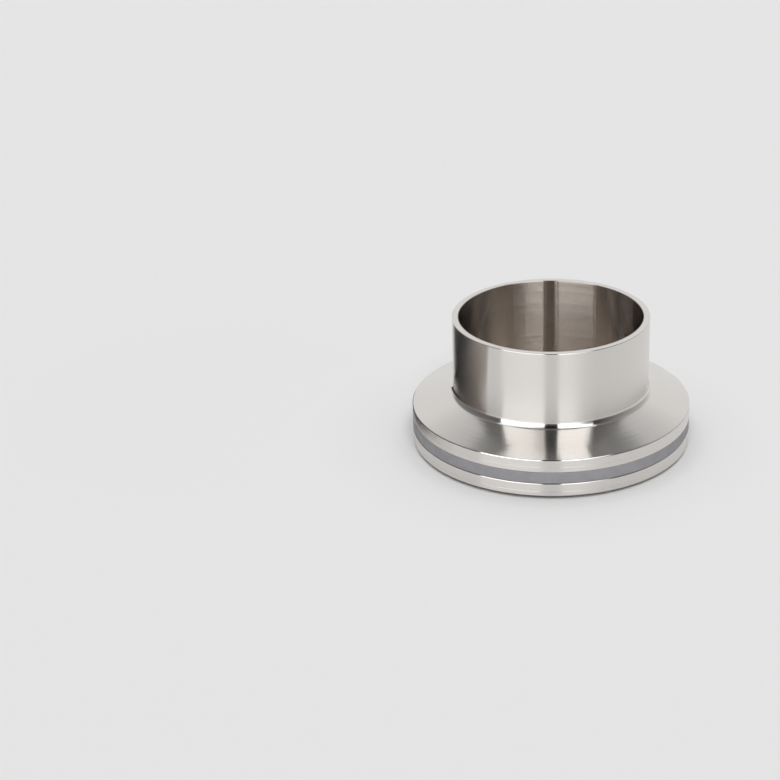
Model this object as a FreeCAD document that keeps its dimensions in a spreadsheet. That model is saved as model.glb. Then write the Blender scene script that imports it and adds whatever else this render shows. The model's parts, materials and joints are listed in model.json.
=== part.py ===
import FreeCAD, Part
import math
import os

import Sketcher

# Sanitary clamp ferrule standing on its gasket and on a blank end cap.
#
# The ferrule is a short tube neck turned in one piece with a round flange. The flange has a
# thick rim, a sloped back, and a flat sealing face with a round-bottomed groove in it. The
# gasket is a moulded ring with a bead on each side, and the blank end cap under it has the
# same rim, slope and groove as the ferrule.
#
# Every piece is turned about Z, and the back of the end cap rests at z = 0.
# Lengths are in millimetres and angles in degrees.

SIZES = {
    "neck_diameter": 45.0,
    "neck_wall": 1.5,
    "ferrule_length": 24.0,
    "flange_width": 9.5,  # from the neck's outside to the rim
    "rim_thickness": 3.0,
    "flange_slope": 20.0,  # of the flange's back
    "root_fillet": 1.7,  # where the neck meets the slope
    "groove_inset": 3.75,  # from the rim to the middle of the groove
    "groove_width": 4.5,
    "groove_depth": 1.6,
    "bead_clearance": 0.1,  # between the gasket's bead and the groove
    "gasket_thickness": 2.7,
    "gasket_edge_round": 0.25,
    "cap_boss_height": 1.0,  # how far the cap's back stands out past its rim
    "rim_edge_round": 0.3,  # on the sloped side
    "face_edge_round": 0.2,  # on the sealing side
    "mouth_edge_round": 0.15,
}

doc = FreeCAD.newDocument("clamp_ferrule")

sheet = doc.addObject("Spreadsheet::Sheet", "Sizes")
for row, (name, value) in enumerate(SIZES.items(), start=1):
    sheet.set(f"A{row}", name)
    sheet.set(f"B{row}", str(value))
    sheet.setAlias(f"B{row}", name)
doc.recompute()

# Lengths that more than one piece takes from the sizes, as expressions
NECK_RADIUS = "Sizes.neck_diameter / 2"
BORE_RADIUS = "Sizes.neck_diameter / 2 - Sizes.neck_wall"
RIM_RADIUS = "Sizes.neck_diameter / 2 + Sizes.flange_width"
GROOVE_MIDDLE = f"{RIM_RADIUS} - Sizes.groove_inset"
CAP_THICKNESS = "Sizes.rim_thickness + Sizes.cap_boss_height"
SEAL_FACE_HEIGHT = f"{CAP_THICKNESS} + Sizes.gasket_thickness"
SLOPE = "tan(Sizes.flange_slope * 1 deg)"


def size(expression):
    """The value that an expression on the sheet has now."""
    value = sheet.evalExpression(expression.replace("Sizes.", ""))
    return float(getattr(value, "Value", value))


def new_body(label):
    body = doc.addObject("PartDesign::Body", label)
    body.Label = label
    return body


def section_sketch(body, name):
    """An empty sketch on the body's own XZ plane: across is the radius, and up is the height."""
    plane = next(f for f in body.Origin.OriginFeatures if f.Role == "XZ_Plane")
    sketch = body.newObject("Sketcher::SketchObject", name)
    sketch.AttachmentSupport = [(plane, "")]
    sketch.MapMode = "FlatFace"
    return sketch


def bind(sketch, label, expression, kind, *places):
    """Adds a dimension of the sketch and ties it to the sheet."""
    index = sketch.addConstraint(Sketcher.Constraint(kind, *places, size(expression)))
    sketch.renameConstraint(index, label)
    sketch.setExpression(f"Constraints.{label}", expression)


def hold_point(sketch, label, line, across, up):
    """Holds the start of a line at a radius and a height, or on an axis where one is 0."""
    if across == "0":
        sketch.addConstraint(Sketcher.Constraint("PointOnObject", line, 1, -2))
    else:
        bind(sketch, f"{label}_across", across, "DistanceX", -1, 1, line, 1)
    if up == "0":
        sketch.addConstraint(Sketcher.Constraint("PointOnObject", line, 1, -1))
    else:
        bind(sketch, f"{label}_up", up, "DistanceY", -1, 1, line, 1)


def outline(body, name, corners):
    """A closed outline of straight lines. Each corner is (name, radius, height)."""
    sketch = section_sketch(body, name)
    points = [FreeCAD.Vector(size(across), size(up), 0) for _, across, up in corners]
    count = len(points)
    for i in range(count):
        sketch.addGeometry(Part.LineSegment(points[i], points[(i + 1) % count]), False)
    for i in range(count):
        sketch.addConstraint(Sketcher.Constraint("Coincident", i, 2, (i + 1) % count, 1))
    for i, (corner, across, up) in enumerate(corners):
        hold_point(sketch, corner, i, across, up)
    return sketch


def round_segment(body, name, face, width, depth, side):
    """A segment of a circle on a flat face: the section of a groove or of a bead.

    It stands depth past the face, upwards for side 1 and downwards for side -1.
    """
    radius = f"(({width}) * ({width}) / 4 + ({depth}) * ({depth})) / (2 * ({depth}))"
    middle = size(GROOVE_MIDDLE)
    level = size(face)
    half_width = size(width) / 2
    left = FreeCAD.Vector(middle - half_width, level, 0)
    right = FreeCAD.Vector(middle + half_width, level, 0)
    crown = FreeCAD.Vector(middle, level + side * size(depth), 0)

    sketch = section_sketch(body, name)
    chord = sketch.addGeometry(Part.LineSegment(left, right), False)
    arc = sketch.addGeometry(Part.Arc(left, crown, right), False)
    left_end, right_end = (2, 1) if side > 0 else (1, 2)
    sketch.addConstraint(Sketcher.Constraint("Coincident", chord, 1, arc, left_end))
    sketch.addConstraint(Sketcher.Constraint("Coincident", chord, 2, arc, right_end))
    sketch.addConstraint(Sketcher.Constraint("Horizontal", chord))
    if face == "0":
        sketch.addConstraint(Sketcher.Constraint("PointOnObject", chord, 1, -1))
    else:
        bind(sketch, "face", face, "DistanceY", -1, 1, chord, 1)
    bind(sketch, "middle", GROOVE_MIDDLE, "DistanceX", -1, 1, arc, 3)
    bind(sketch, "width", width, "DistanceX", chord, 1, chord, 2)
    bind(sketch, "radius", radius, "Radius", arc)
    return sketch


def turn(body, sketch, name, kind="PartDesign::Revolution"):
    """Turns a section about Z, which adds material or, as a Groove, cuts it away."""
    feature = body.newObject(kind, name)
    feature.Profile = sketch
    feature.ReferenceAxis = (sketch, ["V_Axis"])
    feature.Angle = 360
    doc.recompute()
    return feature


def circle_edges(shape, radius, height):
    """The names of the full circles about Z that have this radius and height."""
    names = []
    for number, edge in enumerate(shape.Edges, start=1):
        curve = edge.Curve
        if not isinstance(curve, Part.Circle):
            continue
        same_radius = math.isclose(curve.Radius, radius, abs_tol=1e-4)
        same_height = math.isclose(curve.Center.z, height, abs_tol=1e-4)
        if same_radius and same_height:
            names.append(f"Edge{number}")
    return names


def round_edges(body, name, radius, circles):
    """Rounds the edges at circles that are given as (radius, height) expressions."""
    base = body.Tip
    names = []
    for across, up in circles:
        found = circle_edges(base.Shape, size(across), size(up))
        if not found:
            raise RuntimeError(f"{name}: no edge at radius {across} and height {up}")
        names += found
    fillet = body.newObject("PartDesign::Fillet", name)
    fillet.Base = (base, names)
    fillet.setExpression("Radius", radius)
    doc.recompute()
    return fillet


def cut_groove(body, name, face, side):
    """Cuts the round-bottomed groove that takes the gasket's bead into a sealing face."""
    section = round_segment(
        body, f"{name}_section", face, "Sizes.groove_width", "Sizes.groove_depth", side
    )
    turn(body, section, name, "PartDesign::Groove")


def make_end_cap():
    """The blank disc: a flat sealing face on top, and a sloped back with a flat middle."""
    body = new_body("end_cap")
    back_radius = f"{RIM_RADIUS} - Sizes.cap_boss_height / {SLOPE}"
    section = outline(
        body,
        "cap_section",
        [
            ("back_centre", "0", "0"),
            ("back_edge", back_radius, "0"),
            ("rim_back", RIM_RADIUS, "Sizes.cap_boss_height"),
            ("rim_face", RIM_RADIUS, CAP_THICKNESS),
            ("face_centre", "0", CAP_THICKNESS),
        ],
    )
    turn(body, section, "cap_turning")
    cut_groove(body, "cap_groove", CAP_THICKNESS, side=-1)
    back_edge = (RIM_RADIUS, "Sizes.cap_boss_height")
    face_edge = (RIM_RADIUS, CAP_THICKNESS)
    round_edges(body, "cap_rim_round", "Sizes.rim_edge_round", [back_edge])
    round_edges(body, "cap_face_round", "Sizes.face_edge_round", [face_edge])
    return body


def make_gasket():
    """The moulded ring, flush with the bore and the rim, with a bead in each groove."""
    body = new_body("gasket")
    section = outline(
        body,
        "ring_section",
        [
            ("bore_low", BORE_RADIUS, "0"),
            ("rim_low", RIM_RADIUS, "0"),
            ("rim_high", RIM_RADIUS, "Sizes.gasket_thickness"),
            ("bore_high", BORE_RADIUS, "Sizes.gasket_thickness"),
        ],
    )
    turn(body, section, "ring_turning")
    bead_width = "Sizes.groove_width - 2 * Sizes.bead_clearance"
    bead_height = "Sizes.groove_depth - Sizes.bead_clearance"
    for name, face, side in (
        ("upper_bead", "Sizes.gasket_thickness", 1),
        ("lower_bead", "0", -1),
    ):
        bead = round_segment(body, f"{name}_section", face, bead_width, bead_height, side)
        turn(body, bead, name)
    rim_edges = [(RIM_RADIUS, "0"), (RIM_RADIUS, "Sizes.gasket_thickness")]
    round_edges(body, "gasket_rim_round", "Sizes.gasket_edge_round", rim_edges)
    body.setExpression("Placement.Base.z", CAP_THICKNESS)
    return body


def make_ferrule():
    """The neck and its flange, with the sealing face at the bottom."""
    body = new_body("ferrule")
    root_height = f"Sizes.rim_thickness + Sizes.flange_width * {SLOPE}"
    section = outline(
        body,
        "ferrule_section",
        [
            ("bore_face", BORE_RADIUS, "0"),
            ("rim_face", RIM_RADIUS, "0"),
            ("rim_back", RIM_RADIUS, "Sizes.rim_thickness"),
            ("neck_root", NECK_RADIUS, root_height),
            ("mouth_outside", NECK_RADIUS, "Sizes.ferrule_length"),
            ("mouth_inside", BORE_RADIUS, "Sizes.ferrule_length"),
        ],
    )
    turn(body, section, "ferrule_turning")
    cut_groove(body, "ferrule_groove", "0", side=1)
    back_edge = (RIM_RADIUS, "Sizes.rim_thickness")
    face_edge = (RIM_RADIUS, "0")
    mouth_edges = [
        (NECK_RADIUS, "Sizes.ferrule_length"),
        (BORE_RADIUS, "Sizes.ferrule_length"),
    ]
    round_edges(body, "root_fillet", "Sizes.root_fillet", [(NECK_RADIUS, root_height)])
    round_edges(body, "ferrule_rim_round", "Sizes.rim_edge_round", [back_edge])
    round_edges(body, "ferrule_face_round", "Sizes.face_edge_round", [face_edge])
    round_edges(body, "mouth_round", "Sizes.mouth_edge_round", mouth_edges)
    body.setExpression("Placement.Base.z", SEAL_FACE_HEIGHT)
    return body


bodies = [make_end_cap(), make_gasket(), make_ferrule()]
doc.recompute()

for item in doc.Objects:
    if "Invalid" in item.State or "Error" in item.State:
        raise RuntimeError(f"{item.Label} failed: {item.State}")

for body in bodies:
    shape = body.Shape
    if shape.isNull() or not shape.isValid() or len(shape.Solids) != 1:
        raise RuntimeError(f"{body.Label} isn't one valid solid")
    box = shape.optimalBoundingBox(False)
    print(
        f"{body.Label}: volume {shape.Volume:.2f} mm3, width {box.XLength:.3f},"
        f" height {box.ZMin:.3f} to {box.ZMax:.3f}"
    )

os.makedirs("parts", exist_ok=True)
for body in bodies:
    body.Shape.exportStep(f"parts/{body.Label}.step")
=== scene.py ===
import json
from math import atan2, cos, degrees, pi, prod, radians, sin, tan

import bpy
from mathutils import Matrix, Vector


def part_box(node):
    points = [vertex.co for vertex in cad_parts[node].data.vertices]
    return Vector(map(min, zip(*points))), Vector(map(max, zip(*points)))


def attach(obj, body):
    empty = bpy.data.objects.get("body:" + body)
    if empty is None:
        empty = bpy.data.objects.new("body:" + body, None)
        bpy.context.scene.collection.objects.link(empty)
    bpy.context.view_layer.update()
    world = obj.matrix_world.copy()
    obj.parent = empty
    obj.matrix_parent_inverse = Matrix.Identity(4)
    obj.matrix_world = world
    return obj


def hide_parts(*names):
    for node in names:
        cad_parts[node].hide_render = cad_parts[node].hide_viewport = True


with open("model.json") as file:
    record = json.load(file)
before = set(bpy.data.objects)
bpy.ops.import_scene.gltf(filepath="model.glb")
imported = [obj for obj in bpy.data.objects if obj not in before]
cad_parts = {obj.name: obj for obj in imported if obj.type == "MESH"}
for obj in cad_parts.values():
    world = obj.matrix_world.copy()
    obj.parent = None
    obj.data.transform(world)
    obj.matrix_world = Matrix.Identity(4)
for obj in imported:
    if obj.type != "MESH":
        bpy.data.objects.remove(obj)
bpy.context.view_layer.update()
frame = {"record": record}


# The weld ferrule
# A short tube neck and its flange, turned in one piece from stainless steel bar and polished
# while it spins, so that fine lines run round every face of it. It stands on the gasket.

MM = 0.001
mounts = {mount["name"]: mount for mount in frame["record"]["mounts"]}
bore_radius = mounts["bore"]["dims"]["r_mm"] * MM
neck_radius = mounts["neck_outside"]["dims"]["r_mm"] * MM
rim_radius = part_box("ferrule")[1].x
seal_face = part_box("ferrule")[0].z
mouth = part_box("ferrule")[1].z

rim_thickness = 3.0 * MM
flange_slope = radians(20)
root_fillet = 1.7 * MM
rim_edge = 0.3 * MM
face_edge = 0.2 * MM
mouth_edge = 0.15 * MM
bore_edge = 0.05 * MM  # the sealing faces' corners at the bore and at the groove
groove_inset = 3.75 * MM  # from the rim in to the groove's middle
groove_middle = rim_radius - groove_inset
groove_width = 4.5 * MM
groove_depth = 1.6 * MM


def round_trough(middle, level, width, depth, corner, side):
    """The corners of a round-bottomed groove, or of a bead, that crosses a flat face.

    side is 1 where it stands above the face's level, and -1 where it stands below.
    The two inner corners are rounded so far that they make one arc.
    """
    radius = (width * width / 4 + depth * depth) / (2 * depth)
    turn = atan2(width / 2, radius - depth)
    reach = radius * tan(turn / 2)
    corner_room = 1.5 * corner  # left at each end of the arc for the outer corner's rounding
    bottom_round = radius * (1 - corner_room / reach)
    return [
        (middle - width / 2, level, corner),
        (middle - reach, level + side * depth, bottom_round),
        (middle + reach, level + side * depth, bottom_round),
        (middle + width / 2, level, corner),
    ]


arc_step = radians(7)  # about the turn between two points of a rounding
fewest_steps = 3


def rounded_section(corners, closed):
    """Rounds the corners of a turned section, given as (radius, height, rounding).

    Returns the section's points, and the way that the surface faces at each. The outline
    runs with the metal on its left, so that the surface faces to its right.
    """
    count = len(corners)
    points, facings = [], []
    for i, (radius, height, rounding) in enumerate(corners):
        here = Vector((radius, height))
        if not closed and i in (0, count - 1):
            points.append(here)
            facings.append(Vector((0, -1 if i == 0 else 1)))
            continue
        coming = (here - Vector(corners[i - 1][:2])).normalized()
        going = (Vector(corners[(i + 1) % count][:2]) - here).normalized()
        start = atan2(coming.y, coming.x)
        turn = atan2(coming.x * going.y - coming.y * going.x, coming.dot(going))
        side = 1 if turn > 0 else -1
        tangent_point = here - coming * rounding * tan(abs(turn) / 2)
        centre = tangent_point - side * rounding * Vector((sin(start), -cos(start)))
        steps = max(fewest_steps, round(abs(turn) / arc_step))
        for k in range(steps + 1):
            heading = start + turn * k / steps
            facing = Vector((sin(heading), -cos(heading)))
            points.append(centre + side * rounding * facing)
            facings.append(facing)
    return points, facings


class Wire:
    """An output of a node. Sums on it add Math nodes, and node() adds any other node."""

    def __init__(self, tree, socket=None):
        self.tree = tree
        self.socket = socket

    def node(self, kind, inputs=None, settings=None, output=0):
        """Adds a node: first its settings, then each input as a value or another wire."""
        made = self.tree.nodes.new(kind)
        for name, value in (settings or {}).items():
            if name == "stops":
                set_stops(made.color_ramp, value)
            else:
                setattr(made, name, value)
        for name, value in (inputs or {}).items():
            if isinstance(value, Wire):
                self.tree.links.new(value.socket, made.inputs[name])
            else:
                made.inputs[name].default_value = value
        return Wire(self.tree, made.outputs[output] if made.outputs else None)

    def math(self, operation, *values):
        return self.node(
            "ShaderNodeMath", dict(enumerate(values)), {"operation": operation}
        )

    def vector(self, operation, other=None, **named):
        """Adds a Vector Math node on this wire, and on another where it takes two."""
        inputs = {0: self, **named}
        if other is not None:
            inputs[1] = other
        return self.node("ShaderNodeVectorMath", inputs, {"operation": operation})

    def part(self, axis):
        """One axis of a vector."""
        return self.node("ShaderNodeSeparateXYZ", {0: self}, output=axis)

    def __add__(self, other):
        return self.math("ADD", self, other)

    __radd__ = __add__

    def __sub__(self, other):
        return self.math("SUBTRACT", self, other)

    def __rsub__(self, other):
        return self.math("SUBTRACT", other, self)

    def __mul__(self, other):
        return self.math("MULTIPLY", self, other)

    __rmul__ = __mul__

    def __truediv__(self, other):
        return self.math("DIVIDE", self, other)

    def __rtruediv__(self, other):
        return self.math("DIVIDE", other, self)

    def rises(self, low, high, bottom=0.0, top=1.0):
        """A smooth step: bottom where this wire is below low, and top above high."""
        inputs = {
            "Value": self,
            "From Min": low,
            "From Max": high,
            "To Min": bottom,
            "To Max": top,
        }
        settings = {"interpolation_type": "SMOOTHSTEP"}
        return self.node("ShaderNodeMapRange", inputs, settings)

    def slide(self, first, second):
        """A number between two others, by this wire as the share of the second."""
        return first + self * (second - first)

    def blend(self, first, second):
        """A colour between two others, by this wire as the share of the second."""
        inputs = {"Factor": self, "A": first, "B": second}
        return self.node("ShaderNodeMix", inputs, {"data_type": "RGBA"}, "Result")


def set_stops(ramp, stops):
    """Gives a colour ramp its stops, each a place and a colour."""
    while len(ramp.elements) < len(stops):
        ramp.elements.new(0.5)
    for element, (place, colour) in zip(ramp.elements, stops):
        element.position = place
        element.color = colour


seam_gap = 0.001 * MM  # points nearer than this become one, at the turned seam and the poles
turning_inputs = (
    ("Section", "NodeSocketGeometry"),
    ("Facets", "NodeSocketInt"),
    ("Turning Radius", "NodeSocketFloat"),
    ("Finish", "NodeSocketMaterial"),
)


def turning_tree():
    """Geometry nodes that turn a section about Z and give it exact smooth normals.

    The section lies in XY, moved inwards by the turning radius, and each of its points
    carries the way that the surface faces there.
    """
    tree = bpy.data.node_groups.new("turned_piece", "GeometryNodeTree")
    for name, kind in turning_inputs:
        tree.interface.new_socket(name, in_out="INPUT", socket_type=kind)
    tree.interface.new_socket("Piece", in_out="OUTPUT", socket_type="NodeSocketGeometry")
    wire = Wire(tree)
    given = tree.nodes.new("NodeGroupInput").outputs
    asked = {name: Wire(tree, given[name]) for name, kind in turning_inputs}

    section = wire.node("GeometryNodeMeshToCurve", {"Mesh": asked["Section"]})
    ring = {"Resolution": asked["Facets"], "Radius": asked["Turning Radius"]}
    circle = wire.node("GeometryNodeCurvePrimitiveCircle", ring, {"mode": "RADIUS"})
    swept = wire.node(
        "GeometryNodeCurveToMesh", {"Curve": circle, "Profile Curve": section}
    )
    closed = wire.node(
        "GeometryNodeMergeByDistance", {"Geometry": swept, "Distance": seam_gap}
    )
    smooth = wire.node("GeometryNodeSetShadeSmooth", {"Geometry": closed})
    facing = wire.node(
        "GeometryNodeInputNamedAttribute", {"Name": "facing"}, {"data_type": "FLOAT_VECTOR"}
    )
    level = wire.node("GeometryNodeInputPosition").vector("MULTIPLY", (1, 1, 0))
    sideways = level.vector("NORMALIZE").vector("SCALE", Scale=facing.part("X"))
    rising = wire.node("ShaderNodeCombineXYZ", {"Z": facing.part("Y")})
    shaded = wire.node(
        "GeometryNodeSetMeshNormal",
        {"Mesh": smooth, "Custom Normal": sideways.vector("ADD", rising)},
        {"mode": "FREE", "domain": "POINT"},
    )
    whole = wire.node("GeometryNodeRealizeInstances", {"Geometry": shaded})
    finished = wire.node(
        "GeometryNodeSetMaterial", {"Geometry": whole, "Material": asked["Finish"]}
    )
    wire.node("NodeGroupOutput", {"Piece": finished})
    return tree


def add_object(name, data):
    """Puts a mesh, a lamp or a camera into the scene."""
    made = bpy.data.objects.new(name, data)
    bpy.context.scene.collection.objects.link(made)
    return made


turning = turning_tree()
turned_facets = 360


def turned_piece(name, corners, closed, finish):
    """Turns a section with rounded corners about Z, and returns it as a plain mesh."""
    points, facings = rounded_section(corners, closed)
    count = len(points)
    edges = [(i, (i + 1) % count) for i in range(count if closed else count - 1)]
    section = bpy.data.meshes.new(name + "_section")
    flat = [(point.x - rim_radius, -point.y, 0) for point in reversed(points)]
    section.from_pydata(flat, edges, [])
    attribute = section.attributes.new("facing", "FLOAT_VECTOR", "POINT")
    for place, facing in zip(attribute.data, reversed(facings)):
        place.vector = (facing.x, facing.y, 0)
    holder = add_object(name + "_section", section)
    modifier = holder.modifiers.new("turning", "NODES")
    modifier.node_group = turning
    values = {"Facets": turned_facets, "Turning Radius": rim_radius, "Finish": finish}
    for item in turning.interface.items_tree:
        if item.in_out == "INPUT" and item.name in values:
            modifier[item.identifier] = values[item.name]
    bpy.context.view_layer.update()
    evaluated = holder.evaluated_get(bpy.context.evaluated_depsgraph_get())
    mesh = bpy.data.meshes.new_from_object(evaluated)
    mesh.attributes.remove(mesh.attributes["facing"])
    mesh.name = name
    holder.modifiers.remove(modifier)
    bpy.data.objects.remove(holder)
    return add_object(name, mesh)


def new_material(name, constants):
    """A material with one Principled shader, some of whose sockets are the same all over.

    Returns it, that shader and a wire to start from.
    """
    material = bpy.data.materials.new(name)
    material.use_nodes = True
    shader = material.node_tree.nodes["Principled BSDF"]
    for socket, value in constants.items():
        shader.inputs[socket].default_value = value
    return material, shader, Wire(material.node_tree)


def connect(shader, wires):
    """Feeds wires into a shader's sockets, each under its name."""
    for name, wire in wires.items():
        wire.tree.links.new(wire.socket, shader.inputs[name])


steel_colour = (0.75, 0.725, 0.695, 1)
# Painted shade: the steel in the bore is coloured darker and browner than outside, for the
# hollow's shade.
bore_shade_colour = (0.58, 0.53, 0.485, 1)
upright_roughness = 0.21
bore_roughness = 0.07
slope_roughness = 0.11
brushing_turn = 0.25  # of a full turn, so that reflections spread across the lines

lines_per_metre = 8000
tool_lines_per_metre = 160000  # too fine to be seen one by one
streaks_per_metre = 5000
fine_detail = 2

# How far each kind of line tips the surface, next to a facing of length 1.
upright_line_tip = 0.4
bore_line_tip = 0.03
slope_line_tip = 0.15
tool_line_tip = 1.9
streak_tip = 0.18

# Where one finish gives way to the next.
slope_onset = (0.05, 0.6)  # by how far the face looks up or down
bore_skin = (bore_radius + 0.1 * MM, bore_radius + 0.3 * MM)  # the bore's finish ends here
rim_skin = (rim_radius - 0.1 * MM, rim_radius - 0.05 * MM)  # the rims' marks begin here

rim_marks = (2.0 * MM, 7.9 * MM)  # heights of the tool's marks round the two rims
mark_reach = 0.1 * MM
mark_crest = 0.06 * MM
mark_tip = 0.5


def rim_mark(height, level):
    """How far a fine ridge at a level tips the face: up above its middle, and down below it."""
    lower_half = height.rises(level - mark_reach, level)
    upper_half = height.rises(level, level + mark_reach, 1, 0)
    tip = height.rises(level - mark_crest, level + mark_crest, -mark_tip, mark_tip)
    return lower_half * upper_half * tip


def turned_steel():
    """Stainless steel, turned and polished round Z.

    Fine lines run round each face. They tip its normal a little, up and down the section,
    and spread its reflections that way. The bore keeps the deeper lines of its tool, and has
    faint streaks that run down it. Its colour is painted shade: darker and browner steel.
    """
    brushed = {"Metallic": 1.0, "Anisotropic": 1.0, "Anisotropic Rotation": brushing_turn}
    material, shader, wire = new_material("turned_steel", brushed)
    place = wire.node("ShaderNodeTexCoord", output="Object")
    across = place.part("X")
    away = place.part("Y")
    height = place.part("Z")
    radius = wire.math("SQRT", across * across + away * away)
    facing = wire.node("ShaderNodeNewGeometry", output="Normal")
    sloped = wire.math("ABSOLUTE", facing.part("Z")).rises(*slope_onset)
    in_bore = radius.rises(*bore_skin, 1, 0)
    on_rim = radius.rises(*rim_skin)

    def ripple(over, scale, detail):
        """Noise about zero, over the first two axes of a vector."""
        inputs = {"Vector": over, "Scale": scale, "Detail": detail}
        return wire.node("ShaderNodeTexNoise", inputs, {"noise_dimensions": "2D"}) - 0.5

    profile = wire.node("ShaderNodeCombineXYZ", {"X": radius, "Y": height})
    lines = ripple(profile, lines_per_metre, fine_detail)
    tool_lines = ripple(profile, tool_lines_per_metre, 0) * in_bore
    streaks = ripple(place.vector("MULTIPLY", (1, 1, 0)), streaks_per_metre, fine_detail)
    marks = (rim_mark(height, rim_marks[0]) + rim_mark(height, rim_marks[1])) * on_rim
    line_tip = in_bore.slide(upright_line_tip, bore_line_tip)
    upright_tip = lines * line_tip + tool_lines * tool_line_tip + marks
    tip = sloped.slide(upright_tip, lines * slope_line_tip)
    sideways_tip = streaks * in_bore * (1 - sloped) * streak_tip

    up = wire.node("ShaderNodeCombineXYZ", {"Z": 1.0})
    round_axis = up.vector("CROSS_PRODUCT", place).vector("NORMALIZE")
    along = facing.vector("CROSS_PRODUCT", round_axis)
    tipped = facing.vector("ADD", along.vector("SCALE", Scale=tip))
    tipped = tipped.vector("ADD", round_axis.vector("SCALE", Scale=sideways_tip))

    # The bore's darker, browner colour is painted shade.
    colour = in_bore.blend(steel_colour, bore_shade_colour)
    roughness = sloped.slide(in_bore.slide(upright_roughness, bore_roughness), slope_roughness)
    normal = tipped.vector("NORMALIZE")
    connect(shader, {"Base Color": colour, "Roughness": roughness, "Normal": normal})
    return material


steel = turned_steel()
slope_rise = (rim_radius - neck_radius) * tan(flange_slope)
ferrule_corners = [
    (bore_radius, seal_face, bore_edge),
    *round_trough(groove_middle, seal_face, groove_width, groove_depth, bore_edge, 1),
    (rim_radius, seal_face, face_edge),
    (rim_radius, seal_face + rim_thickness, rim_edge),
    (neck_radius, seal_face + rim_thickness + slope_rise, root_fillet),
    (neck_radius, mouth, mouth_edge),
    (bore_radius, mouth, mouth_edge),
]
ferrule = turned_piece("turned_ferrule", ferrule_corners, True, steel)
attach(ferrule, "root")
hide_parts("ferrule")


# The gasket
# A ring of grey silicone rubber, moulded with a bead on each side that sits in the grooves.
# Its edge shows as a matte band between the two steel rims.

cap_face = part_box("end_cap")[1].z
bead_clearance = 0.1 * MM
gasket_edge = 0.25 * MM
dark_rubber = (0.315, 0.312, 0.328, 1)
light_rubber = (0.35, 0.347, 0.366, 1)
mottle_per_metre = 450
mottle_detail = 4
mottle_range = (0.3, 0.7)


def grey_rubber():
    """Matte grey silicone rubber, mottled very faintly."""
    material, shader, wire = new_material("grey_rubber", {"Roughness": 0.6})
    place = wire.node("ShaderNodeTexCoord", output="Object")
    inputs = {"Vector": place, "Scale": mottle_per_metre, "Detail": mottle_detail}
    mottle = wire.node("ShaderNodeTexNoise", inputs).rises(*mottle_range)
    connect(shader, {"Base Color": mottle.blend(dark_rubber, light_rubber)})
    return material


rubber = grey_rubber()
bead_width = groove_width - 2 * bead_clearance
bead_height = groove_depth - bead_clearance
lower_bead = round_trough(groove_middle, cap_face, bead_width, bead_height, bore_edge, -1)
upper_bead = round_trough(groove_middle, seal_face, bead_width, bead_height, bore_edge, 1)
gasket_corners = [
    (bore_radius, cap_face, bore_edge),
    *lower_bead,
    (rim_radius, cap_face, gasket_edge),
    (rim_radius, seal_face, gasket_edge),
    *reversed(upper_bead),
    (bore_radius, seal_face, bore_edge),
]
gasket = turned_piece("moulded_gasket", gasket_corners, True, rubber)
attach(gasket, "root")
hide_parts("gasket")


# The end cap
# A blank disc of the same steel, turned with the rim, the slope and the groove that the
# ferrule has. The stack stands on the flat of its back.

cap_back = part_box("end_cap")[0].z
cap_rim_low = cap_face - rim_thickness
cap_back_radius = rim_radius - (cap_rim_low - cap_back) / tan(flange_slope)
cap_groove = round_trough(groove_middle, cap_face, groove_width, groove_depth, bore_edge, -1)
cap_corners = [
    (0, cap_back, 0),
    (cap_back_radius, cap_back, face_edge),
    (rim_radius, cap_rim_low, rim_edge),
    (rim_radius, cap_face, face_edge),
    *reversed(cap_groove),
    (0, cap_face, 0),
]
end_cap = turned_piece("turned_end_cap", cap_corners, False, steel)
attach(end_cap, "root")
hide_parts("end_cap")


# The floor
# A wide sheet of pale matte paper, which the stack stands on. It lies flat and is far larger
# than the picture.

floor_reach = 15.0


def grey(glow):
    return (glow, glow, glow, 1)


matte_paper = {"Base Color": grey(0.85), "Roughness": 0.9, "Specular IOR Level": 0.1}

floor_corners = [
    (-floor_reach, -floor_reach, 0),
    (floor_reach, -floor_reach, 0),
    (floor_reach, floor_reach, 0),
    (-floor_reach, floor_reach, 0),
]
floor_mesh = bpy.data.meshes.new("paper_floor")
floor_mesh.from_pydata(floor_corners, [], [(0, 1, 2, 3)])
paper, _, _ = new_material("pale_paper", matte_paper)
floor_mesh.materials.append(paper)
floor = add_object("paper_floor", floor_mesh)


# The dark block
# A low drum covered in felt, out of the picture at the left. It is a dark stand-in put there
# for painted shade. Its colour is painted shade too: black behind and paler in front, as if lit
# from the front. Only the steel mirrors it, which gives the stack's left side a dark edge.

block_reach = Vector((46, 47)) * MM  # half its width and half its depth
block_height = 12 * MM
block_middle = Vector((-82, 22, 0)) * MM
block_sides = 96
# Painted shade: the felt's colour runs from a lit-looking pale front to a black back.
felt_lit_front = (0.42, 0.37, 0.34, 1)
felt_painted_shade = grey(0.006)
felt_shading = (-24 * MM, 20 * MM)  # from its pale front to its dark back

foot_places = []
for i in range(block_sides):
    turned = 2 * pi * i / block_sides
    reach = Vector((block_reach.x * cos(turned), block_reach.y * sin(turned), 0))
    foot_places.append(block_middle + reach)
block_points = foot_places + [place + Vector((0, 0, block_height)) for place in foot_places]
block_faces = [
    (i, (i + 1) % block_sides, block_sides + (i + 1) % block_sides, block_sides + i)
    for i in range(block_sides)
]
block_faces.append(tuple(range(block_sides, 2 * block_sides)))
block_mesh = bpy.data.meshes.new("dark_block")
block_mesh.from_pydata(block_points, [], block_faces)
block = add_object("dark_block", block_mesh)
felt_surface = {"Roughness": 1.0, "Specular IOR Level": 0.0}
felt, felt_shader, felt_wire = new_material("felt_painted_shade", felt_surface)
felt_place = felt_wire.node("ShaderNodeTexCoord", output="Object")
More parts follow.
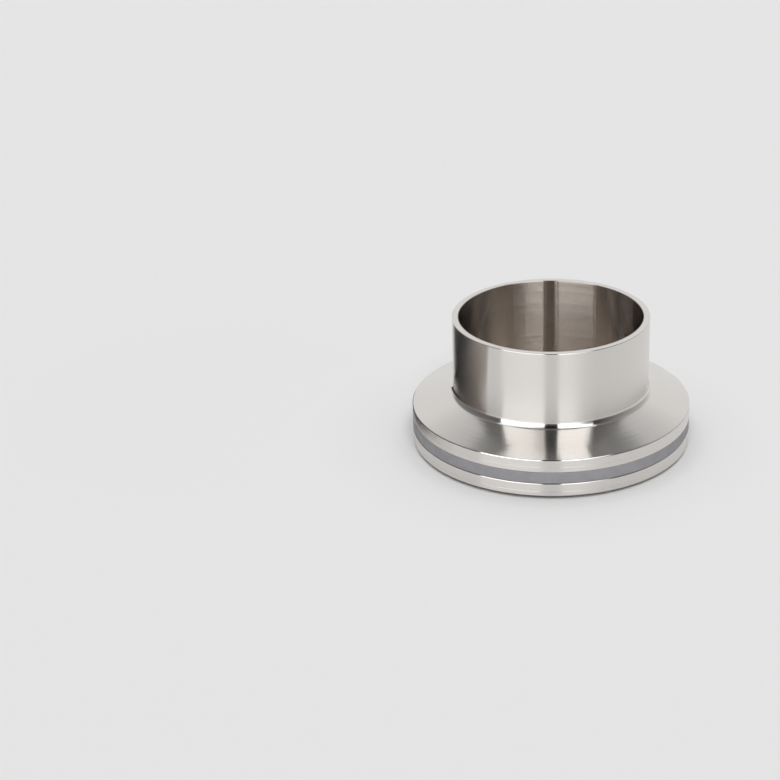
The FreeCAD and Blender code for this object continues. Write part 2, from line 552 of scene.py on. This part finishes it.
# Painted shade: the felt is coloured pale at its front and black at its back.
felt_shade_ramp = felt_place.part("Y").rises(*felt_shading).blend(felt_lit_front, felt_painted_shade)
connect(felt_shader, {"Base Color": felt_shade_ramp})
block_mesh.materials.append(felt)
block.visible_camera = False
block.visible_diffuse = False
block.visible_shadow = False


# The studio light
# Two tall soft windows in front of the stack, in a room that is pale behind it and dim to the
# sides and overhead, which only the steel mirrors. Two far lamps light the paper and rubber.

look_down = radians(24.71)
camera_place = Vector((-37.14, -389.06, 192.34)) * MM
line_of_sight = Vector((-camera_place.x, -camera_place.y)).normalized()
sight = line_of_sight * cos(look_down)  # the level part of the direction that it looks in

# The walls' glow by the bearing in degrees, where 0 is in front and 90 is at the right.
wall_glows = (
    (-180, 0.83),
    (-150, 0.83),
    (-138, 0.25),
    (-100, 0.16),
    (-70, 0.12),
    (-30, 0.02),
    (30, 0.02),
    (50, 0.06),
    (75, 0.20),
    (100, 0.38),
    (125, 0.52),
    (145, 0.83),
    (180, 0.83),
)

# The ceiling's share by the height in degrees. It comes lower at the right.
ceiling_shares = ((30, 0.0), (45, 0.3), (49, 0.38), (52, 0.55), (54, 0.85), (58, 1.0))
ceiling_lean = 0.06
ceiling_depth = (-0.45, 0.1)
ceiling_front = grey(0.015)
ceiling_back = grey(0.22)

# Each fade is a smooth step: from where, to where, and then its value before and after.
# It runs over a bearing in degrees, or over the part of a direction that goes up or away.
window_softness = 0.6
window_back = (0.18, 0.28, 1, 0)
window_foot = (0, 0.3, 0.4, 1)
window_top = (sin(radians(61)), sin(radians(77)), 1, 0)
window_climb = (0, sin(radians(60)))
shade_climb = (0.55, 0.7)

# A window's sides and shades are placed by the bearing of the face that mirrors them to the
# camera, so that they run straight down the neck and the slope. A side may lean by a fade.
# The shades are fades across the window, low down and high up. The glow goes from low to high.
studio_windows = (
    {
        "sides": ((-34.7, (0.845, 0.88, 0, -2.4)), (-8.8, None)),
        "low shades": ((-36, -14, 0.85, 1),),
        "high shades": ((-37, -24, 0.8, 1), (-18.5, -8.8, 1, 0.55)),
        "glows": (grey(4.0), grey(1.62)),
    },
    {
        "sides": ((-0.9, None), (19.6, (0.865, 0.89, 0, 2.0))),
        "low shades": ((4, 18, 1, 0.12),),
        "high shades": ((14.5, 20, 1, 0.6),),
        "glows": (grey(3.4), grey(2.15)),
    },
)

# Two strips of the wall behind: the two sides, as right over up, and the glow.
wall_strips = ((-0.163, 0.013, grey(1.0)), (0.085, 0.224, grey(1.1)))
strip_softness = 0.006
strip_near = (0.15, 0.3)
strip_far = (0.5, 0.6, 1, 0)
strip_foot = (0.5, 0.6)

bounced_glow = grey(0.1)  # the room as the floor gets it back from the steel
sky_past_floor = grey(0.77)  # all that the camera sees past the floor's far edge


def light_room():
    """Lights the world as the room that the steel mirrors."""
    world = bpy.data.worlds.new("studio")
    bpy.context.scene.world = world
    world.use_nodes = True
    world.cycles_visibility.diffuse = False  # so that the floor keeps the stack's shadow
    background = world.node_tree.nodes["Background"]
    background.inputs["Strength"].default_value = 1.0
    wire = Wire(world.node_tree)
    direction = wire.node("ShaderNodeTexCoord", output="Generated")
    rightward = direction.part("X")
    away = direction.part("Y")
    upward = direction.part("Z")

    def span(past_first, first, past_last, last, soft):
        """One between two soft sides, and none beyond them."""
        opens = past_first.rises(first - soft, first + soft)
        return opens * past_last.rises(last - soft, last + soft, 1, 0)

    around = wire.math("ARCTAN2", rightward, 0 - away) / (2 * pi) + 0.5
    wall_stops = [(place / 360 + 0.5, grey(glow)) for place, glow in wall_glows]
    walls = wire.node("ShaderNodeValToRGB", {"Fac": around}, {"stops": wall_stops})
    climb = upward + rightward * ceiling_lean
    climb_stops = [(sin(radians(height)), grey(share)) for height, share in ceiling_shares]
    overhead = wire.node("ShaderNodeValToRGB", {"Fac": climb}, {"stops": climb_stops})
    ceiling = away.rises(*ceiling_depth).blend(ceiling_front, ceiling_back)
    room = overhead.blend(walls, ceiling)

    bearing = wire.math("ARCTAN2", rightward - sight.x, sight.y - away) * degrees(1)
    ends = away.rises(*window_back) * upward.rises(*window_foot) * upward.rises(*window_top)
    for window in studio_windows:
        (first, first_lean), (last, last_lean) = window["sides"]
        past_first = bearing - upward.rises(*first_lean) if first_lean else bearing
        past_last = bearing - upward.rises(*last_lean) if last_lean else bearing
        pane = span(past_first, first, past_last, last, window_softness) * ends
        low_share = prod(bearing.rises(*fade) for fade in window["low shades"])
        high_share = prod(bearing.rises(*fade) for fade in window["high shades"])
        share = upward.rises(*shade_climb).slide(low_share, high_share)
        glow = upward.rises(*window_climb).blend(*window["glows"])
        room = (pane * share).blend(room, glow)

    leaning = rightward / upward
    behind = away.rises(*strip_near) * away.rises(*strip_far) * upward.rises(*strip_foot)
    for first, last, glow in wall_strips:
        strip = span(leaning, first, leaning, last, strip_softness)
        room = (strip * behind).blend(room, glow)

    diffuse_depth = wire.node("ShaderNodeLightPath", output="Diffuse Depth")
    bounced = wire.math("GREATER_THAN", diffuse_depth, 0)
    camera_ray = wire.node("ShaderNodeLightPath", output="Is Camera Ray")
    seen = camera_ray.blend(bounced.blend(room, bounced_glow), sky_past_floor)
    connect(background, {"Color": seen})


light_room()


def soft_lamp(name, side, spread, strength):
    """A broad far-off lamp at one side. It lights paper and rubber, and isn't mirrored."""
    data = bpy.data.lights.new(name, "SUN")
    data.angle = spread
    data.energy = strength
    lamp = add_object(name, data)
    lamp.rotation_euler = side.to_track_quat("Z", "Y").to_euler()
    lamp.visible_glossy = False


overhead = Vector((0, 0, 1))
front_height = radians(50)
front = Vector((0, -cos(front_height), sin(front_height)))
soft_lamp("overhead_lamp", overhead, spread=radians(100), strength=1.9)
soft_lamp("front_lamp", front, spread=radians(30), strength=1.25)


# The camera
# It stands in front of the stack and a little to its left, looks down at it, and is tilted
# slightly, so that the stack is at the right of the picture.

picture_pixels = 780
focal_pixels = 1850
sensor_width = 36.0
tilt = radians(-2.127)
nearest_seen = 10 * MM

camera_data = bpy.data.cameras.new("camera")
camera_data.sensor_width = sensor_width
camera_data.lens = focal_pixels * sensor_width / picture_pixels
camera_data.clip_start = nearest_seen
camera = add_object("camera", camera_data)
turn = Matrix.Rotation(pi / 2 - look_down, 4, "X") @ Matrix.Rotation(tilt, 4, "Z")
camera.matrix_world = Matrix.Translation(camera_place) @ turn
bpy.context.scene.camera = camera

bpy.context.scene.view_settings.view_transform = "Standard"
